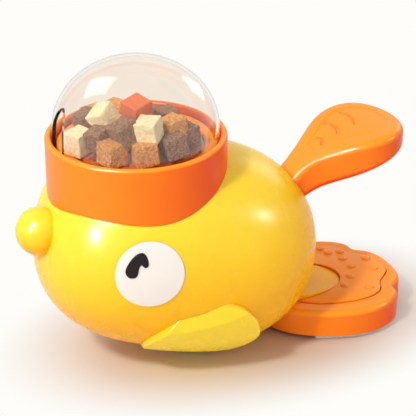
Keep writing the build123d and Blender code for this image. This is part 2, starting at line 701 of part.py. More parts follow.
def lever_screws():
    """Screws from the lever's flange into the tail's root."""
    face = ROOT_HALF + 2.6
    return [at(x, face, z, Rot(90, 0, 0) * screw(11, 1.12, 2.0, 1.4)) for x, z in LEVER_SCREWS]


def pivot_pin():
    """Steel pin between the two halves that the tail swings on."""
    pin = rod(PIVOT_X, PIVOT_Z, PIN_R, -PIN_HALF, PIN_HALF)
    return chamfer(pin.edges(), 0.3)


def return_spring():
    """Compression spring that lifts the tail."""
    rise = SPRING_TOP - SPRING_BOTTOM - 2 * SPRING_WIRE - 0.3
    path = Helix(pitch=rise / SPRING_TURNS, height=rise, radius=SPRING_R)
    wire = Plane(origin=path @ 0, z_dir=path % 0) * Circle(SPRING_WIRE)
    coil = sweep(wire, path, is_frenet=True)
    return at(SPRING_X, 0, SPRING_BOTTOM + SPRING_WIRE + 0.1, coil)


def treat_chute():
    """Inner chute from the drop hole to the outlet over the tray."""
    reach = SLOT_OUT + 0.2
    shaft_in = block(DROP_FRONT, HOPPER_X + reach, DROP_LEFT, DROP_RIGHT, 80, FLOOR_LOW + 5)
    shaft_in &= post(HOPPER_X, 0, reach, 60, 200)
    shaft_out = block(
        DROP_FRONT - CHUTE_WALL, HOPPER_X + reach + CHUTE_WALL, DROP_LEFT - CHUTE_WALL, DROP_RIGHT + CHUTE_WALL,
        78, FLOOR_LOW - SEAT,
    )
    shaft_out &= post(HOPPER_X, 0, reach + CHUTE_WALL, 60, 200)
    ceiling = RACK_LOW - RUN
    run_out = chute_run(CHUTE_HALF, CHUTE_H, CHUTE_WALL) & block(DROP_FRONT - CHUTE_WALL, 200, -50, 50, 0, ceiling)
    run_in = chute_run(CHUTE_HALF, CHUTE_H, 0) & block(DROP_FRONT, 200, -50, 50, 0, ceiling - CHUTE_WALL)
    seat = block(SPRING_X - 6, SPRING_X + 6, -6, 6, 50, SPRING_BOTTOM - 0.1)
    solid = (shaft_out + (run_out & egg(-0.1)) + seat) - shaft_in - run_in
    return solid + post(SPRING_X, 0, 2.4, SPRING_BOTTOM - 0.5, SPRING_BOTTOM + 4)


def tray_outline(half=TRAY_LOOP, inset=0.0):
    """Webbed-foot outline: one middle lobe and two side lobes in one smooth loop."""
    loop = half + [(x, -y) for x, y in reversed(half[1:-1])]
    return closed(inset_loop(Spline(*loop, periodic=True), inset))


def tray():
    """Orange tray with a raised rim, a sunk floor with nubs, and a tab under the belly."""
    body = at(0, 0, TRAY_BASE, extrude(tray_outline(), amount=TRAY_TOP - TRAY_BASE))
    body = fillet(body.edges().group_by(Axis.Z)[-1], TRAY_ROUND)
    well = extrude(tray_outline(WELL_LOOP), amount=TRAY_DEPTH + 1)
    well += block(20, 60, -TONGUE_HALF, TONGUE_HALF, 0, TRAY_DEPTH + 1)
    body -= at(0, 0, TRAY_FLOOR, well)
    under = extrude(tray_outline(inset=TRAY_WALL), amount=TRAY_FLOOR - TRAY_WALL - TRAY_BASE + 1)
    body -= at(0, 0, TRAY_BASE - 1, under) & block(TRAY_HOLLOW_X, 200, -80, 80, 0, 50)
    for x, y in TRAY_NUBS:
        nub = at(x, y, TRAY_FLOOR - NUB_SUNK, Sphere(NUB_R))
        body += nub & block(0, 200, -80, 80, TRAY_FLOOR - 0.5, TRAY_FLOOR + NUB_R)
    body -= egg(RUN)
    body += block(TAB_FRONT, TRAY_HOLLOW_X, -TAB_HALF, TAB_HALF, BELLY_Z, BELLY_Z + TAB_T)
    for y in (-TRAY_SCREW_Y, TRAY_SCREW_Y):
        body -= post(TRAY_SCREW_X, y, SCREW_R + 0.2, 0, 50)
        body -= post(TRAY_SCREW_X, y, HEAD_R + 0.3, 0, BELLY_Z + 1.2)
    return body


def tray_pad():
    """Pale non-slip pad under the tray."""
    outline = tray_outline(inset=TRAY_WALL + PAD_INSET) & Pos(PAD_FRONT + 100, 0) * Rectangle(200, 200)
    return extrude(outline, amount=TRAY_BASE - 0.05)


def ramp_tongue():
    """Yellow tongue that carries treats from the outlet down on to the tray."""
    profile = polygon(
        (30, TRAY_FLOOR + SEAT),
        (TONGUE_TIP + 5, TRAY_FLOOR + SEAT),
        (TONGUE_TIP + 5, TRAY_FLOOR + TONGUE_LOW),
        (TONGUE_ROOT, TRAY_FLOOR + TONGUE_HIGH),
        (30, TRAY_FLOOR + TONGUE_HIGH),
    )
    plan = Pos(TONGUE_ROOT, 0) * Ellipse(TONGUE_TIP - TONGUE_ROOT, TONGUE_HALF)
    plan += Pos(TONGUE_ROOT - 15, 0) * Rectangle(30, 2 * TONGUE_HALF)
    return (side_plate(profile, -40, 40) & extrude(plan, amount=60)) - egg(RUN)


def belly_pad():
    """Rubber pad that the body stands on."""
    return at(-16, 0, 0, extrude(Ellipse(20, 15), amount=BELLY_Z - 0.02))


def flipper(side):
    """Yellow wing pad on the flank, down by the floor."""
    x, y, z = FLIPPER_SHIFT
    pad = at(x, -y, z, egg(FLIPPER_T)) & side_plate(closed(Spline(*FLIPPER_LOOP, periodic=True)), -95, -FLIPPER_IN)
    pad &= block(-90, 60, -95, 0, FLIPPER_LOW, 90)
    x, y, z = FACET_POINT
    out_x, out_y, out_z = FACET_DIR
    facet = Plane(origin=(x, -y, z), z_dir=(out_x, -out_y, out_z))
    pad -= facet * at(0, 0, 50, Box(300, 300, 100))
    rims = [edge for edge in pad.edges() if edge.center().Y < -30 and edge.center().Z > FLIPPER_LOW + 0.5]
    pad = fillet(rims, FLIPPER_ROUND) - egg(SKIN_GAP)
    return mirror(pad, Plane.XZ) if side > 0 else pad


def dome_form(r, rise, low):
    """A solid of the dome's shape: a short cylinder under half an ellipsoid."""
    wall = Pos(r / 2, (low + DOME_EQUATOR) / 2) * Rectangle(r, DOME_EQUATOR - low)
    cap = Pos(0, DOME_EQUATOR) * Ellipse(r, rise)
    cap &= Pos(r / 2, DOME_EQUATOR + rise / 2) * Rectangle(r, rise)
    return revolve(Plane.XZ * (wall + cap), Axis.Z, 360)


def dome():
    """Clear lift-off cover with a pointed thumb notch at the front."""
    shell = dome_form(DOME_R, DOME_RISE, DOME_SEAT + SEAT)
    shell -= dome_form(DOME_R - DOME_WALL, DOME_RISE - DOME_WALL, DOME_SEAT - 5)
    half = NOTCH_W / 2
    spring = LIP_TOP + 4
    bulge_y = NOTCH_W * 0.33
    bulge_z = (spring + NOTCH_TOP) / 2 + 3
    arch = closed(
        Line((half, DOME_SEAT - 5), (half, spring)),
        ThreePointArc((half, spring), (bulge_y, bulge_z), (0, NOTCH_TOP)),
        ThreePointArc((0, NOTCH_TOP), (-bulge_y, bulge_z), (-half, spring)),
        Line((-half, spring), (-half, DOME_SEAT - 5)),
        Line((-half, DOME_SEAT - 5), (half, DOME_SEAT - 5)),
    )
    shell -= Plane.YZ * extrude(arch, amount=-80)
    return Pos(HOPPER_X, 0, 0) * shell


# Treats: kind, place from the hopper's axis, turn, and tilt about X and Y, from the lowest up
TREAT = 12.0
TREAT_GAP = 0.2
TREATS = [
    ("tan", -17.0, -16.5, 20.0, 0.0, 0.0),
    ("brown", 20.0, 17.0, 40.0, 0.0, 0.0),
    ("tan", -26.0, -29.0, 45.0, 0.0, 0.0),
    ("tan", -7.5, -33.0, -10.0, 0.0, 0.0),
    ("brown", 13.0, -31.0, 25.0, 0.0, 0.0),
    ("cream", -40.0, -2.0, 5.0, 0.0, 0.0),
    ("brown", -26.0, -2.0, -10.0, 0.0, 0.0),
    ("brown", 2.0, -18.0, 0.0, 0.0, 0.0),
    ("tan", 19.0, -14.5, -26.0, 0.0, 0.0),
    ("cream", 6.0, 31.0, 10.0, 0.0, 0.0),
    ("tan", -9.0, 27.0, -10.0, 0.0, 0.0),
    ("cream", -24.0, 19.0, 30.0, 0.0, 0.0),
    ("brown", 36.0, 6.0, 10.0, 0.0, 0.0),
    ("brown", 3.0, 11.0, 15.0, 0.0, 0.0),
    ("brown", -13.0, -11.0, 15.0, 8.0, -6.0),
    ("cream", 4.0, -15.0, 40.0, -10.0, 12.0),
    ("tan", 21.5, -13.0, 20.0, 6.0, 10.0),
    ("brown", 18.0, 4.0, 75.0, -8.0, 5.0),
    ("cream", -20.0, 3.0, 20.0, 18.0, -14.0),
    ("orange", 0.0, 3.5, 10.0, 5.0, 4.0),
    ("brown", -35.0, 10.0, 60.0, 10.0, 8.0),
    ("tan", -8.0, 20.0, 30.0, -6.0, 0.0),
]


def settled(cube, below):
    """The cube lowered until it rests a hair above what lies under it."""
    step = TREAT / 3
    while step > TREAT_GAP / 2:
        lower = Pos(0, 0, -step) * cube
        box = lower.bounding_box()
        near = [item for item, reach in below if reach.min.Z < box.max.Z and reach.max.Z + TREAT_GAP > box.min.Z]
        if all(lower.distance_to(item) > TREAT_GAP for item in near):
            cube = lower
        else:
            step /= 2
    return cube


def treats(disc):
    """The heap of cube treats on the disc, sorted by kind."""
    ground = post(HOPPER_X, 0, DISC_R, FLOOR_LOW, FLOOR_TOP)
    ledge = post(HOPPER_X, 0, LIP_R, DOME_SEAT, LEDGE_TOP) - post(HOPPER_X, 0, DISC_R + 0.5, 100, 200)
    below = [(item, item.bounding_box()) for item in (disc, ground, ledge)]
    heap = {}
    for kind, x, y, turn, tilt_x, tilt_y in TREATS:
        cube = at(HOPPER_X + x, y, LIP_TOP + 2.5 * TREAT, Rot(tilt_x, tilt_y, turn) * Box(TREAT, TREAT, TREAT))
        cube = settled(cube, below)
        below.append((cube, cube.bounding_box()))
        heap.setdefault(kind, []).append(cube)
    return heap


def write(name, shape):
    """One STEP file for one node."""
    solids = shape if isinstance(shape, list) else list(shape.solids())
    flat = []
    for item in solids:
        flat += list(item.solids())
    whole = flat[0] if len(flat) == 1 else Compound(children=flat)
    export_step(whole, "parts/" + name + ".step")
    print(name, len(flat), round(sum(s.volume for s in flat)))


def main():
    os.makedirs("parts", exist_ok=True)
    skin = shell_skin()
    write("left_shell", shell_half(skin, -1))
    write("right_shell", shell_half(skin, 1))
    write("collar", collar())
    write("hopper_floor", hopper_floor())
    write("rack_bracket", rack_bracket())
    write("treat_chute", treat_chute())
    write("tray", tray())
    write("tray_pad", tray_pad())
    write("ramp_tongue", ramp_tongue())
    write("belly_pad", belly_pad())
    for side, name in ((-1, "left"), (1, "right")):
        write("flipper_" + name, flipper(side))
        write("eye_" + name, eye_disc(side))
        write("pupil_" + name, pupil(side))
    write("pivot_pin", pivot_pin())
    write("return_spring", return_spring())
    write("housing_screws", housing_screws())
    write("collar_screws", collar_screws())
    write("bracket_screws", bracket_screws())
    write("tray_screws", tray_screws())
    write("tail_paddle", tail_paddle())
    write("drive_lever", drive_lever())
    write("lever_screws", lever_screws())
    write("feed_rack", feed_rack())
    disc = feed_disc()
    write("feed_disc", disc)
    write("feed_shaft", feed_shaft())
    write("drive_pinion", pinion())
    write("shaft_clip", shaft_clip())
    write("clear_dome", dome())
    for kind, cubes in treats(disc).items():
        write("treats_" + kind, cubes)


main()
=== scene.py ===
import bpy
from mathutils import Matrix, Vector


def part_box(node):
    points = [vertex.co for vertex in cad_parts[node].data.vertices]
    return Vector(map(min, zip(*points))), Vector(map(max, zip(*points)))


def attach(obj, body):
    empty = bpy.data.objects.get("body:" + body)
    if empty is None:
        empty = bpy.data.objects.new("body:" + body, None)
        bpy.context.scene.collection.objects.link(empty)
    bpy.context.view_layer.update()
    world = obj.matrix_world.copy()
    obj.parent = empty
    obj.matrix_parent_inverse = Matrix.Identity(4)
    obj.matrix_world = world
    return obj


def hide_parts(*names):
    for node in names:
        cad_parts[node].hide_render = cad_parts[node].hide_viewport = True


bl_info = {
    "name": "Duck Treat Dispenser",
    "version": (1, 0, 0),
    "blender": (4, 5, 0),
    "location": "View3D > Sidebar > Dispenser",
    "description": "Dresses the packed model of a duck-shaped pet treat dispenser",
    "category": "Object",
}

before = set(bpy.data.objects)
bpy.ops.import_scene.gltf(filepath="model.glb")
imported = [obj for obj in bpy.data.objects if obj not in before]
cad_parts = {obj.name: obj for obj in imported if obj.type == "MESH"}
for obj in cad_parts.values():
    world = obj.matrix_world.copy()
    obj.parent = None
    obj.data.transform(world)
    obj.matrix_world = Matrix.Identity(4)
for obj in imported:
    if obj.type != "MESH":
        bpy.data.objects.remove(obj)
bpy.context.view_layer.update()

from math import cos, pi, radians, sin, sqrt

import bmesh
import bpy
from bpy.props import FloatProperty, FloatVectorProperty, IntProperty, PointerProperty
from mathutils import Matrix, Vector, noise
from mathutils.bvhtree import BVHTree

MM = 0.001

# Painted shade on the mouldings: the side that the lamps light most, on which the colour is painted palest,
# and how far round from it the colour is painted deeper
PAINTED_LIGHT_SIDE = (-0.46, -0.26, 0.85)
PAINTED_PALE_AT = 0.9
PAINTED_DEEP_AT = 0.1


def linear(code):
    """A colour written as sRGB hex, as linear red, green and blue."""
    values = [int(code[i:i + 2], 16) / 255 for i in (1, 3, 5)]
    return tuple(v / 12.92 if v <= 0.04045 else ((v + 0.055) / 1.055) ** 2.4 for v in values)


def colour_prop(name, code, description):
    """A colour that the user can change."""
    return FloatVectorProperty(
        name=name, description=description, subtype="COLOR", size=3, min=0.0, max=1.0, default=linear(code)
    )


def length_prop(name, metres, description):
    """A length that the user can change."""
    return FloatProperty(name=name, description=description, default=metres, unit="LENGTH")


def share_prop(name, value, description):
    """A value from 0 to 1 that the user can change."""
    return FloatProperty(name=name, description=description, default=value, min=0, max=1)


def angle_prop(name, degrees, description):
    """An angle that the user can change."""
    return FloatProperty(name=name, description=description, default=radians(degrees), subtype="ANGLE")


# Settings


class BodySettings(bpy.types.PropertyGroup):
    """The yellow body, the flippers and the eyes."""

    yellow: colour_prop("Yellow", "#FFE23C", "Colour of the moulded body")
    # Painted shade: the deeper yellow that the body is painted towards where it turns from the lamps, and in
    # its seams
    painted_shade: colour_prop("Yellow shade", "#FFBE0A", "Deeper tint of its underside")
    # The flippers' ramp runs the other way round: their tops are painted darker and their undersides painted
    # lighter, painted light and shade that evens out how the lamps fall on them
    flipper: colour_prop("Flipper", "#FAD234", "Colour of the flippers' tops")
    flipper_painted_light: colour_prop("Flipper underside", "#FFE63C", "Colour of the flippers' undersides")
    # Painted shade: the tongue is painted a deeper yellow than the body it is moulded with, for the body's
    # shadow on it
    tongue: colour_prop("Tongue", "#FFBE00", "Colour of the tongue over the tray")
    eye_white: colour_prop("Eye white", "#EEEEF1", "Colour of the eye discs")
    pupil: colour_prop("Pupil", "#1A1210", "Colour of the pupils")
    roughness: share_prop("Roughness", 0.26, "Polish of the moulded surface")


class TrimSettings(bpy.types.PropertyGroup):
    """The orange collar, tail and tray, and the salmon disc."""

    orange: colour_prop("Orange", "#FF9C22", "Colour of the collar, tail and tray")
    # Painted shade: the deeper orange that the collar, tail and tray are painted towards where they turn
    # from the lamps, and in their seams
    painted_shade: colour_prop("Orange shade", "#F25002", "Deeper tint of their undersides")
    salmon: colour_prop("Disc", "#E5804F", "Colour of the feed disc")
    roughness: share_prop("Roughness", 0.3, "Polish of the moulded surface")
    bar: length_prop("Bar", 0.0024, "Width of the bars in the tail")
    mat_rise: length_prop("Mat rise", 0.001, "Mat's top over the tray's rim")
    nub: length_prop("Nub", 0.0031, "Radius of a nub on the mat")


class TreatSettings(bpy.types.PropertyGroup):
    """The cube treats."""

    cream: colour_prop("Cream", "#F8E6C0", "Colour of the cream treats")
    brown: colour_prop("Brown", "#7A4A24", "Colour of the brown treats")
    tan: colour_prop("Tan", "#CE8C38", "Colour of the tan treats")
    orange: colour_prop("Orange", "#DE6622", "Colour of the orange treat")
    corner: length_prop("Corner", 0.0008, "Corner radius of a treat")
    side: length_prop("Side", 0.0141, "Length of a treat's edge")
    cuts: IntProperty(name="Steps", description="Steps along a treat's edge", default=18, min=4, max=40)


class DomeSettings(bpy.types.PropertyGroup):
    """The clear dome."""

    wall: length_prop("Wall", 0.0022, "Thickness of the dome's wall")
    rise: length_prop("Rise", 0.0446, "Height of the domed part")
    notch_width: length_prop("Notch width", 0.019, "Width of the thumb notch")
    notch_top: length_prop("Notch top", 0.176, "Height of the notch's point")
    steps: IntProperty(name="Steps", description="Steps round the dome", default=160, min=24, max=400)


class StageSettings(bpy.types.PropertyGroup):
    """Floor, lamps and camera."""

    floor: colour_prop("Floor", "#FEFDF9", "Colour of the far floor and the backdrop")
    # Painted shadow: the floor round the object is painted darker and warmer than the far floor
    paper: colour_prop("Paper", "#C9B8A8", "Colour of the floor round the object")
    bounce: colour_prop("Bounce", "#DCCEBC", "Colour of the light that the floor throws back up")
    room: colour_prop("Room", "#FFF5EA", "Colour of the room's light")
    ambient: FloatProperty(name="Ambient", description="Strength of the room's light", default=0.6, min=0)
    lift: share_prop("Shadow lift", 0.0, "How far the floor's shadows are thinned")
    lens: FloatProperty(name="Lens", description="Focal length in millimetres", default=129.8)
    distance: length_prop("Distance", 0.9737, "Camera to target")
    azimuth: angle_prop("Azimuth", -23.2, "Camera's turn round the object")
    elevation: angle_prop("Elevation", 26.5, "Camera's height above the horizon")
    target: FloatVectorProperty(
        name="Target", description="Point the camera looks at", default=(-0.0053, 0, 0.091), unit="LENGTH"
    )


# Shader helpers


def add(tree, kind, inputs=None, **settings):
    """One shader node with its settings, its input values and its links."""
    made = tree.nodes.new(kind)
    for name, value in settings.items():
        setattr(made, name, value)
    for name, value in (inputs or {}).items():
        if isinstance(value, bpy.types.NodeSocket):
            tree.links.new(value, made.inputs[name])
        else:
            made.inputs[name].default_value = value
    return made


def per_metre(size_mm):
    """Texture scale for a pattern of this size."""
    return 1000.0 / size_mm


def new_material(name):
    """An empty node material with its output."""
    material = bpy.data.materials.new(name)
    material.use_nodes = True
    material.node_tree.nodes.clear()
    return material, material.node_tree, material.node_tree.nodes.new("ShaderNodeOutputMaterial")


def rgba(colour):
    """A linear colour with full alpha."""
    return (colour[0], colour[1], colour[2], 1.0)


def mix_colour(tree, factor, first, second):
    """The colour socket of a mix of two colours."""
    made = tree.nodes.new("ShaderNodeMix")
    made.data_type = "RGBA"
    for index, value in ((0, factor), (6, first), (7, second)):
        if isinstance(value, bpy.types.NodeSocket):
            tree.links.new(value, made.inputs[index])
        else:
            made.inputs[index].default_value = value
    return made.outputs[2]


# Moulded plastic, in millimetres: broad patches in its tint, haze in its polish, orange peel, and edges
PATCH_MM = 60
PATCH_SHARE = 0.25
HAZE_MM = 9
HAZE_DULLER = 0.05
HAZE_SHINIER = 0.03
PEEL_MM = 2.4
PEEL_STRENGTH = 0.02
PEEL_DEPTH_MM = 0.2
EDGE_MM = 0.5
# Painted shade in grooves and seams: how near the facing wall stands, the share of open air at which the
# painted shade begins and at which it is full, and how much of it then shows
HOLLOW_MM = 2.5
HOLLOW_FROM = 0.92
HOLLOW_FULL = 0.4
PAINTED_CREASE_SHADE = 0.75


def moulded_plastic(name, colour, painted_shade, roughness, subsurface=0.0):
    """Injection-moulded plastic: a strong colour with painted shade, deeper where the surface turns from the
    lamps' side and in grooves and seams, varying a little in broad patches, a faint orange peel that softens
    the highlights, and a rounded glint along each edge."""
    material, tree, out = new_material(name)
    place = add(tree, "ShaderNodeTexCoord").outputs["Object"]
    normal = add(tree, "ShaderNodeNewGeometry").outputs["Normal"]
    # Painted light and shade: the colour is painted paler where the surface faces the lamps' side and deeper
    # where it turns away
    facing = add(tree, "ShaderNodeVectorMath", {0: normal, 1: PAINTED_LIGHT_SIDE}, operation="DOT_PRODUCT")
    patches = add(
        tree, "ShaderNodeTexNoise", {"Vector": place, "Scale": per_metre(PATCH_MM), "Detail": 2.0}
    )
    uneven = add(
        tree, "ShaderNodeMath", {0: patches.outputs["Fac"], 1: PATCH_SHARE, 2: facing.outputs["Value"]},
        operation="MULTIPLY_ADD",
    )
    blend = add(
        tree, "ShaderNodeMapRange",
        {"Value": uneven.outputs["Value"], "From Min": PAINTED_PALE_AT, "From Max": PAINTED_DEEP_AT},
    )
    base = mix_colour(tree, blend.outputs["Result"], rgba(colour), rgba(painted_shade))
    # Painted shade: the colour is drawn towards the deeper tint where walls stand close, in grooves and
    # seams
    open_air = add(tree, "ShaderNodeAmbientOcclusion", {"Distance": HOLLOW_MM * MM}, samples=8)
    crease_shade = add(
        tree, "ShaderNodeMapRange",
        {
            "Value": open_air.outputs["AO"], "From Min": HOLLOW_FROM, "From Max": HOLLOW_FULL,
            "To Max": PAINTED_CREASE_SHADE,
        },
    )
    base = mix_colour(tree, crease_shade.outputs["Result"], base, rgba(painted_shade))
    haze = add(tree, "ShaderNodeTexNoise", {"Vector": place, "Scale": per_metre(HAZE_MM), "Detail": 3.0})
    polish = add(
        tree, "ShaderNodeMapRange",
        {
            "Value": haze.outputs["Fac"], "To Min": roughness - HAZE_SHINIER,
            "To Max": roughness + HAZE_DULLER,
        },
    )
    skin = add(tree, "ShaderNodeTexNoise", {"Vector": place, "Scale": per_metre(PEEL_MM), "Detail": 1.0})
    edge = add(tree, "ShaderNodeBevel", {"Radius": EDGE_MM * MM}, samples=6)
    bump = add(
        tree, "ShaderNodeBump",
        {
            "Height": skin.outputs["Fac"], "Strength": PEEL_STRENGTH, "Distance": PEEL_DEPTH_MM * MM,
            "Normal": edge.outputs["Normal"],
        },
    )
    shader = add(
        tree, "ShaderNodeBsdfPrincipled",
        {
            "Base Color": base, "Roughness": polish.outputs["Result"], "Normal": bump.outputs["Normal"],
            "IOR": 1.46, "Specular IOR Level": 0.24, "Subsurface Weight": subsurface,
            "Subsurface Radius": (3.0, 1.6, 0.6), "Subsurface Scale": MM,
        },
    )
    tree.links.new(shader.outputs["BSDF"], out.inputs["Surface"])
    return material


# Drawn steel: the width of its streaks, and how shiny and how dull they get. Real streaks are about
# 0.1 mm wide; they are drawn coarser so that they show.
STREAK_MM = 0.8
STEEL_SHINIEST = 0.24
STEEL_DULLEST = 0.42


def rolled_steel(name):
    """Bright zinc-plated steel: cool grey with fine drawn streaks."""
    material, tree, out = new_material(name)
    place = add(tree, "ShaderNodeTexCoord").outputs["Object"]
    grain = add(tree, "ShaderNodeTexNoise", {"Vector": place, "Scale": per_metre(STREAK_MM), "Detail": 4.0})
    polish = add(
        tree, "ShaderNodeMapRange",
        {"Value": grain.outputs["Fac"], "To Min": STEEL_SHINIEST, "To Max": STEEL_DULLEST},
    )
    shader = add(
        tree, "ShaderNodeBsdfPrincipled",
        {"Base Color": rgba(linear("#C9CBCE")), "Metallic": 1.0, "Roughness": polish.outputs["Result"]},
    )
    tree.links.new(shader.outputs["BSDF"], out.inputs["Surface"])
    return material


# Rubber: the width of its grain, drawn coarser than the real 0.3 mm so that it shows, and its depth
RUBBER_GRAIN_MM = 1.1
RUBBER_DEPTH_MM = 0.15


def soft_rubber(name, code):
    """Matt soft rubber: pale grey with a fine even grain and no clear highlight."""
    material, tree, out = new_material(name)
    place = add(tree, "ShaderNodeTexCoord").outputs["Object"]
    grain = add(
        tree, "ShaderNodeTexNoise", {"Vector": place, "Scale": per_metre(RUBBER_GRAIN_MM), "Detail": 5.0}
    )
    tint = mix_colour(tree, grain.outputs["Fac"], rgba(linear(code)), rgba(linear("#B9B8B4")))
    bump = add(
        tree, "ShaderNodeBump",
        {"Height": grain.outputs["Fac"], "Strength": 0.3, "Distance": RUBBER_DEPTH_MM * MM},
    )
    shader = add(
        tree, "ShaderNodeBsdfPrincipled",
        {"Base Color": tint, "Roughness": 0.75, "Normal": bump.outputs["Normal"]},
    )
    tree.links.new(shader.outputs["BSDF"], out.inputs["Surface"])
    return material


# How far a face slants from the eye, from 0 to 1, where the polycarbonate's own tint begins to gather
TINT_FROM = 0.78


def clear_polycarbonate(name):
    """Polished clear polycarbonate: it bends light at its edges, where its own tint gathers, and mirrors
    the lamps."""
    material, tree, out = new_material(name)
    slant = add(tree, "ShaderNodeLayerWeight", {"Blend": 0.5}).outputs["Facing"]
    rim = add(tree, "ShaderNodeMapRange", {"Value": slant, "From Min": TINT_FROM, "From Max": 1.0})
    tint = mix_colour(tree, rim.outputs["Result"], rgba(linear("#FBF6EF")), rgba(linear("#6E5C4E")))
    glass = add(
        tree, "ShaderNodeBsdfPrincipled",
        {"Base Color": tint, "Roughness": 0.015, "IOR": 1.5, "Transmission Weight": 1.0},
    )
    through = add(tree, "ShaderNodeBsdfTransparent", {"Color": rgba(linear("#F8F4EC"))})
    rays = add(tree, "ShaderNodeLightPath")
    mixed = add(tree, "ShaderNodeMixShader", {"Fac": rays.outputs["Is Shadow Ray"]})
    tree.links.new(glass.outputs["BSDF"], mixed.inputs[1])
    tree.links.new(through.outputs["BSDF"], mixed.inputs[2])
    tree.links.new(mixed.outputs["Shader"], out.inputs["Surface"])
    return material


# Dry chew: its pits' width as a share of its crumbs' and their depth, the levels of the pattern that are all
# dark and all pale, and how dark and how pale the meal is at full contrast. Real crumbs are about 0.5 mm
# wide; they are drawn coarser so that they show.
PIT_SHARE = 0.8
PIT_DEPTH_MM = 1.6
CRUMB_DARK = 0.32
CRUMB_PALE = 0.68
MEAL_DARK = 0.6
MEAL_PALE = 0.08


def baked_chew(name, colour, grain_mm, depth, contrast):
    """Dry chew pressed into cubes: crumbs of lighter and darker meal, small pits and a dull dusty face."""
    material, tree, out = new_material(name)
    place = add(tree, "ShaderNodeTexCoord").outputs["Object"]
    crumbs = add(
        tree, "ShaderNodeTexNoise",
        {"Vector": place, "Scale": per_metre(grain_mm), "Detail": 6.0, "Roughness": 0.65},
    )
    pits = add(tree, "ShaderNodeTexVoronoi", {"Vector": place, "Scale": per_metre(grain_mm * PIT_SHARE)})
    tone = add(
        tree, "ShaderNodeMapRange",
        {"Value": crumbs.outputs["Fac"], "From Min": CRUMB_DARK, "From Max": CRUMB_PALE},
    )
    dark = tuple(c * (1 - MEAL_DARK * contrast) for c in colour)
    pale = tuple(min(1.0, c * (1 + contrast) + MEAL_PALE * contrast) for c in colour)
    tint = mix_colour(tree, tone.outputs["Result"], rgba(dark), rgba(pale))
    relief = add(
        tree, "ShaderNodeMath", {0: crumbs.outputs["Fac"], 1: pits.outputs["Distance"]},
        operation="MULTIPLY",
    )
    bump = add(
        tree, "ShaderNodeBump",
        {"Height": relief.outputs["Value"], "Strength": depth, "Distance": PIT_DEPTH_MM * MM},
    )
    shader = add(
        tree, "ShaderNodeBsdfPrincipled",
        {"Base Color": tint, "Roughness": 0.85, "Normal": bump.outputs["Normal"]},
    )
    tree.links.new(shader.outputs["BSDF"], out.inputs["Surface"])
    return material


# Mesh helpers


def dress(material, *names):
    """Gives CAD nodes this material."""
    for name in names:
        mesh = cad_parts[name].data
        mesh.materials.clear()
        mesh.materials.append(material)


def smooth(piece, angle=35.0):
    """Shades a mesh smooth but keeps its hard edges."""
    mesh = piece.data
    mesh.shade_smooth()
    mesh.set_sharp_from_angle(angle=radians(angle))


def new_piece(name, bm, material, body, slot, *replaced):
    """A mesh object that rides on a body and stands for CAD nodes."""
    mesh = bpy.data.meshes.new(name)
    bm.to_mesh(mesh)
    bm.free()
    piece = bpy.data.objects.new(name, mesh)
    bpy.context.scene.collection.objects.link(piece)
    mesh.materials.append(material)
    smooth(piece)
    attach(piece, body)
    if replaced:
        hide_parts(*replaced)
    return piece


def add_tube(bm, line, radius, sides=10):
    """A closed round tube along these points."""
    rings = []
    for i, place in enumerate(line):
        ahead = line[min(i + 1, len(line) - 1)] - line[max(i - 1, 0)]
        out = ahead.cross(Vector((0, 0, 1))).normalized()
        up = out.cross(ahead).normalized()
        rings.append([place + (out * cos(a) + up * sin(a)) * radius for a in ring_turns(sides)])
    add_lofted(bm, rings)


def add_lofted(bm, rings):
    """A closed skin over rings of equal length, with flat ends."""
    made = [[bm.verts.new(place) for place in ring] for ring in rings]
    count = len(rings[0])
    for lower, upper in zip(made, made[1:]):
        for i in range(count):
            bm.faces.new((lower[i], lower[(i + 1) % count], upper[(i + 1) % count], upper[i]))
    bm.faces.new(list(reversed(made[0])))
    bm.faces.new(made[-1])
    bmesh.ops.recalc_face_normals(bm, faces=bm.faces)


def add_box(bm, low, high):
    """A box between two corners."""
    corners = [(low[0], low[1]), (high[0], low[1]), (high[0], high[1]), (low[0], high[1])]
    add_lofted(bm, [[Vector((x, y, z)) for x, y in corners] for z in (low[2], high[2])])


def ring_turns(sides):
    """Equal turns round a circle."""
    return [2 * pi * k / sides for k in range(sides)]


# A nub's height and the depth of its foot, as shares of its radius
NUB_RISE = 0.45
NUB_FOOT = 0.2


def add_nub(bm, place, radius, rings=5, sides=20):
    """A low round nub that stands on a flat face, with a closed foot just inside it."""
    levels = [(radius, -NUB_FOOT * radius)]
    for k in range(rings):
        t = pi / 2 * k / rings
        levels.append((radius * cos(t), NUB_RISE * radius * sin(t)))
    rows = []
    for r, z in levels:
        rows.append([place + Vector((r * cos(a), r * sin(a), z)) for a in ring_turns(sides)])
    add_lofted(bm, rows)


def smooth_loop(points, steps):
    """Points in metres on a smooth closed curve through corners given in millimetres."""
    corners = [Vector((x, y, 0)) * MM for x, y in points]
    count = len(corners)
    loop = []
    for i in range(count):
        a, b, c, d = (corners[(i + k) % count] for k in (-1, 0, 1, 2))
        for k in range(steps):
            t = k / steps
            bend = (2 * a - 5 * b + 4 * c - d) * t ** 2
            twist = (3 * b - a - 3 * c + d) * t ** 3
            loop.append(0.5 * (2 * b + (c - a) * t + bend + twist))
    return loop


def inset_points(loop, inset):
    """The loop moved inwards by this much, whichever way round it runs."""
    count = len(loop)
    area = sum(loop[i].cross(loop[(i + 1) % count]).z for i in range(count))
    side = 1 if area > 0 else -1
    moved = []
    for i in range(count):
        along = (loop[(i + 1) % count] - loop[i - 1]).normalized()
        moved.append(loop[i] + Vector((-along.y, along.x, 0)) * side * inset)
    return moved


